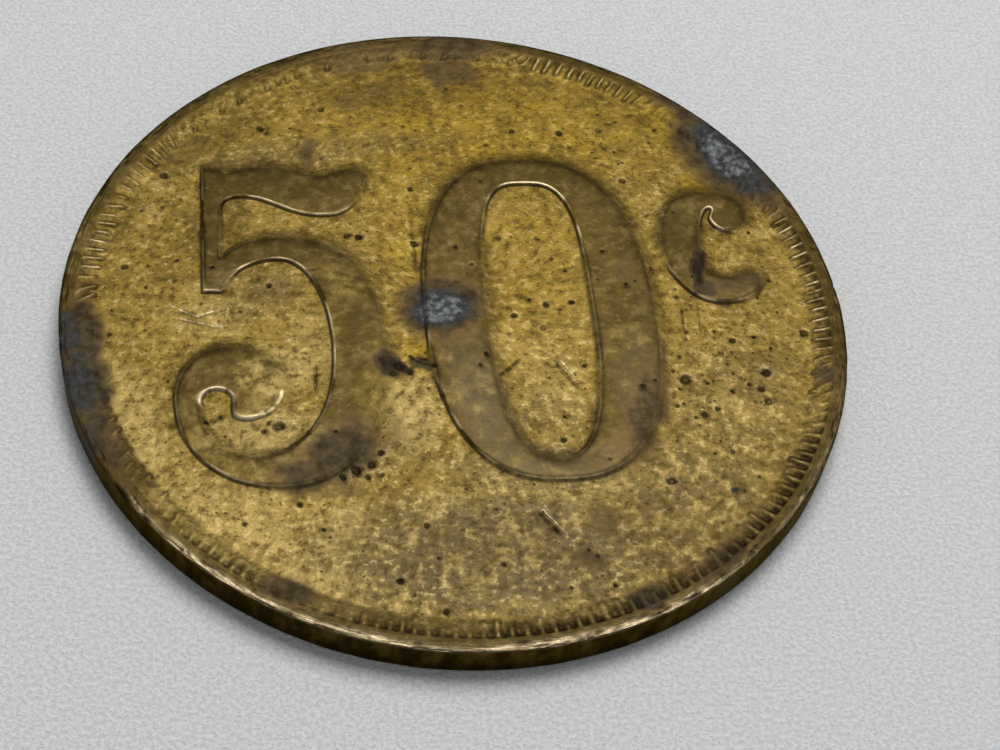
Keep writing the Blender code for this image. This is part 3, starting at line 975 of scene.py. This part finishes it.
def struck_brass():
    """Tarnished brass: grainy ochre fields, smooth olive tops, stains and bright worn edges, with painted
    highlight and painted shade on some edges.
    """
    n = Nodes("struck_brass_worn")
    smooth, dirt_and_shade, wear = (n.mask(name) for name in ("smooth", "dirt_and_shade", "wear"))
    side, pale = n.mask("side"), n.mask("pale")

    broad = n.noise(4.0, 3, 0.6)
    blotches = n.noise(13.0, 4, 0.62)
    mottle = n.noise(30.0, 3, 0.6)
    grain = n.noise(58.0, 3, 0.58)
    specks = n.noise(80.0, 2, 0.5)
    layers = n.noise(1.0, 3, 0.6, n.round_place(22.0, 260.0, 150.0))

    # the grainy field
    colour = n.mix(n.range(broad, 0.3, 0.7), (0.192, 0.127, 0.0252), (0.256, 0.174, 0.0386))
    colour = n.mix(n.times(n.mask("orange"), 0.7), colour, (0.231, 0.143, 0.0118))
    colour = n.mix(n.times(pale, 0.8), colour, (0.386, 0.29, 0.1092))
    colour = n.mix(n.range(blotches, 0.32, 0.6, 0.62, 0.0), colour, (0.122, 0.079, 0.0176))
    film = n.times(n.mask("grey"), n.range(mottle, 0.3, 0.62, 0.95, 0.5))
    colour = n.mix(film, colour, (0.094, 0.074, 0.041))
    light = n.mix(n.mask("orange"), (0.361, 0.27, 0.0991), (0.323, 0.227, 0.042))
    colour = n.mix(n.range(mottle, 0.54, 0.68, 0.0, 0.5), colour, light)
    colour = n.mix(n.range(mottle, 0.46, 0.34, 0.0, 0.7), colour, (0.101, 0.066, 0.016))
    light = n.mix(n.mask("orange"), (0.403, 0.311, 0.1344), (0.353, 0.256, 0.063))
    colour = n.mix(n.range(grain, 0.57, 0.68, 0.0, 0.45), colour, light)
    colour = n.mix(n.range(grain, 0.42, 0.33, 0.0, 0.65), colour, (0.066, 0.041, 0.0109))
    colour = n.mix(n.range(specks, 0.29, 0.24, 0.0, 0.7), colour, (0.034, 0.021, 0.0076))

    # the smooth tops of the numerals and the rim
    top = n.mix(n.range(blotches, 0.32, 0.62), (0.043, 0.029, 0.0074), (0.077, 0.053, 0.0141))
    top = n.mix(n.range(mottle, 0.5, 0.66, 0.0, 0.6), top, (0.124, 0.09, 0.0296))
    top = n.mix(n.range(mottle, 0.47, 0.34, 0.0, 0.6), top, (0.037, 0.025, 0.0081))
    top = n.mix(n.range(grain, 0.55, 0.68, 0.0, 0.35), top, (0.144, 0.105, 0.0355))
    top = n.mix(n.times(pale, n.range(mottle, 0.35, 0.58, 0.25, 0.9)), top, colour)
    top = n.mix(n.times(film, 0.7), top, (0.092, 0.073, 0.0407))
    colour = n.mix(n.times(smooth, 0.96), colour, top)
    # Brown-olive film, which round the numerals is partly painted shade on their far side.
    film = n.times(n.mask("haze_and_shade"), n.range(mottle, 0.3, 0.68, 0.95, 0.45))
    colour = n.mix(film, colour, n.mix(smooth, (0.065, 0.042, 0.0118), (0.043, 0.029, 0.0078)))

    # the edge wall
    streaks = n.noise(1.0, 3, 0.6, n.round_place(24.0, 20.0, 9.0))
    wall = n.mix(n.range(streaks, 0.4, 0.72), (0.028, 0.0175, 0.0046), (0.106, 0.071, 0.02))
    colour = n.mix(side, colour, wall)

    # brown stains, darker towards their middle
    ragged = n.range(blotches, 0.25, 0.75, -0.14, 0.14)
    ragged = n.plus(ragged, n.range(grain, 0.25, 0.75, -0.1, 0.1))
    umber = n.plus(n.mask("umber"), ragged)
    brown, dark = n.range(umber, 0.12, 0.6), n.range(umber, 0.45, 0.95)
    colour = n.mix(n.times(brown, 0.72), colour, (0.09, 0.059, 0.022))
    stain = n.mix(n.range(mottle, 0.35, 0.65), (0.022, 0.016, 0.009), (0.07, 0.053, 0.029))
    colour = n.mix(n.times(dark, n.range(grain, 0.4, 0.66, 0.92, 0.66)), colour, stain)
    colour = n.mix(n.range(umber, 1.05, 1.4, 0.0, 0.85), colour, (0.012, 0.008, 0.0055))

    # slate-blue bloom, lighter in the middle
    blue = n.plus(n.mask("blue"), n.times(ragged, 0.8))
    bloom = n.mix(n.range(grain, 0.35, 0.65), (0.021, 0.0235, 0.025), (0.047, 0.051, 0.053))
    light = n.mix(n.range(grain, 0.38, 0.64), (0.058, 0.065, 0.067), (0.175, 0.19, 0.187))
    bloom = n.mix(n.range(blue, 0.66, 1.02), bloom, light)
    cover = n.range(blue, 0.32, 0.7)
    colour = n.mix(cover, colour, bloom)

    # worn high edges, partly painted highlight, and packed dirt, partly painted shade
    clean = n.math("SUBTRACT", 1.0, n.math("MAXIMUM", dark, cover))
    worn_and_highlit = n.times(n.times(wear, n.range(mottle, 0.3, 0.55, 0.5, 1.0)), clean)
    on_rim = n.range(n.reach, 0.955, 0.965)
    worn_and_highlit = n.times(worn_and_highlit, n.blend(on_rim, 1.0, n.range(layers, 0.38, 0.56, 0.3, 1.0)))
    colour = n.mix(worn_and_highlit, colour, n.mix(on_rim, (0.66, 0.54, 0.32), (0.48, 0.39, 0.24)))
    grime_and_shade = n.times(dirt_and_shade, n.range(grain, 0.25, 0.7, 1.0, 0.6))
    colour = n.mix(grime_and_shade, colour, (0.014, 0.009, 0.004))
    n.set(n.shader.inputs["Base Color"], colour)

    dull = n.math("MAXIMUM", dark, cover)
    n.set(n.shader.inputs["Metallic"], n.blend(dull, n.blend(side, 0.92, 1.0), 0.45))
    n.shader.inputs["Specular IOR Level"].default_value = 0.18
    n.shader.inputs["Specular Tint"].default_value = (0.7, 0.6, 0.42, 1)
    rough = n.blend(
        smooth, n.range(grain, 0.3, 0.7, 0.6, 0.5), n.range(blotches, 0.3, 0.7, 0.42, 0.52))
    rough = n.blend(worn_and_highlit, rough, 0.42)
    n.set(n.shader.inputs["Roughness"], n.blend(n.math("MAXIMUM", dull, grime_and_shade), rough, 0.58))

    relief = n.plus(n.times(mottle, 1.1), n.times(grain, 0.7))
    relief = n.plus(relief, n.range(specks, 0.34, 0.24, 0.0, -0.3))
    uneven = n.math("SUBTRACT", 1.0, n.times(smooth, 0.72))
    relief = n.times(relief, uneven)
    relief = n.plus(relief, n.times(n.times(layers, on_rim), 0.7))
    n.set(n.shader.inputs["Normal"], n.bump(relief, 0.0022 * RADIUS))
    return n.material


def pale_floor():
    """Pale grey matt board with a fine grain."""
    n = Nodes("pale_board")
    fibres = n.noise(92.0, 3, 0.72)
    n.set(n.shader.inputs["Base Color"],
          n.mix(n.range(fibres, 0.34, 0.66), (0.618, 0.632, 0.636), (0.795, 0.808, 0.812)))
    n.shader.inputs["Roughness"].default_value = 0.75
    n.set(n.shader.inputs["Normal"], n.bump(fibres, 0.007 * RADIUS))
    return n.material


# ---- stage, light and camera ----
VIEW_TURN = math.radians(12.5)  # the view stands this far clockwise of the numerals' upright
VIEW_ELEVATION = math.radians(51.95)
VIEW_DISTANCE = 5.072           # in radii, from the point looked at
VIEW_AIM = (0.129, -0.1245)     # that point, in radii, in the view's own ground axes
VIEW_ROLL = math.radians(9.12)
VIEW_LENS = 72.0
LIGHT_PLACE = (0.022, 0.145, 0.337)  # in metres, in the view's ground axes
LIGHT_SIZE = 0.19
LIGHT_POWER = 0.99
LIGHT_COLOUR = (1.0, 0.985, 0.965)
WORLD_COLOUR = (0.8, 0.81, 0.82, 1)
WORLD_STRENGTH = 0.34
FLOOR_HALF = 1.5                # in metres
FLOOR_GAP = 1e-5                # floor's distance below the token, in metres


def view_axis(x, y, z):
    """A direction or place from the view's ground axes in the frame's."""
    return Matrix.Rotation(-VIEW_TURN, 3, "Z") @ Vector((x, y, z))


def make_camera():
    cosine, sine = math.cos(VIEW_ELEVATION), math.sin(VIEW_ELEVATION)
    forward = view_axis(0, cosine, -sine)
    right = view_axis(1, 0, 0)
    up = right.cross(forward)
    turned_right = math.cos(VIEW_ROLL) * right + math.sin(VIEW_ROLL) * up
    turned_up = math.cos(VIEW_ROLL) * up - math.sin(VIEW_ROLL) * right
    place = view_axis(
        VIEW_AIM[0], VIEW_AIM[1] - VIEW_DISTANCE * cosine, VIEW_DISTANCE * sine) * RADIUS
    turn = Matrix((turned_right, turned_up, -forward)).transposed().to_4x4()
    data = bpy.data.cameras.new("view")
    data.lens = VIEW_LENS
    data.clip_start = 0.001
    camera = linked("view", data)
    camera.matrix_world = Matrix.Translation(place) @ turn
    bpy.context.scene.camera = camera


def make_light():
    """A square soft light that faces the token."""
    data = bpy.data.lights.new("overhead", "AREA")
    data.size = LIGHT_SIZE
    data.energy = LIGHT_POWER
    data.color = LIGHT_COLOUR
    light = linked("overhead", data)
    place = view_axis(*LIGHT_PLACE)
    light.location = place
    light.rotation_euler = (-place).to_track_quat("-Z", "Y").to_euler()


def make_stage():
    mesh = bpy.data.meshes.new("floor")
    corners = [(x * FLOOR_HALF, y * FLOOR_HALF, 0) for x, y in ((-1, -1), (1, -1), (1, 1), (-1, 1))]
    mesh.from_pydata(corners, [], [(0, 1, 2, 3)])
    mesh.materials.append(pale_floor())
    floor = linked("floor", mesh)
    floor.location.z = LOW.z - FLOOR_GAP

    world = bpy.data.worlds.new("studio")
    bpy.context.scene.world = world
    world.use_nodes = True
    background = world.node_tree.nodes["Background"]
    background.inputs["Color"].default_value = WORLD_COLOUR
    background.inputs["Strength"].default_value = WORLD_STRENGTH
    make_light()
    bpy.context.scene.view_settings.view_transform = "Standard"


# ---- the token ----
def main():
    numerals = Numerals([finer(outline) for outline in packed_outlines(face_levels()[1])])
    token = mesh_object(token_surface(numerals), "struck_token")
    token.data.materials.append(struck_brass())
    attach(token, "root")
    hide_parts("struck_disc")
    make_stage()
    make_camera()


main()
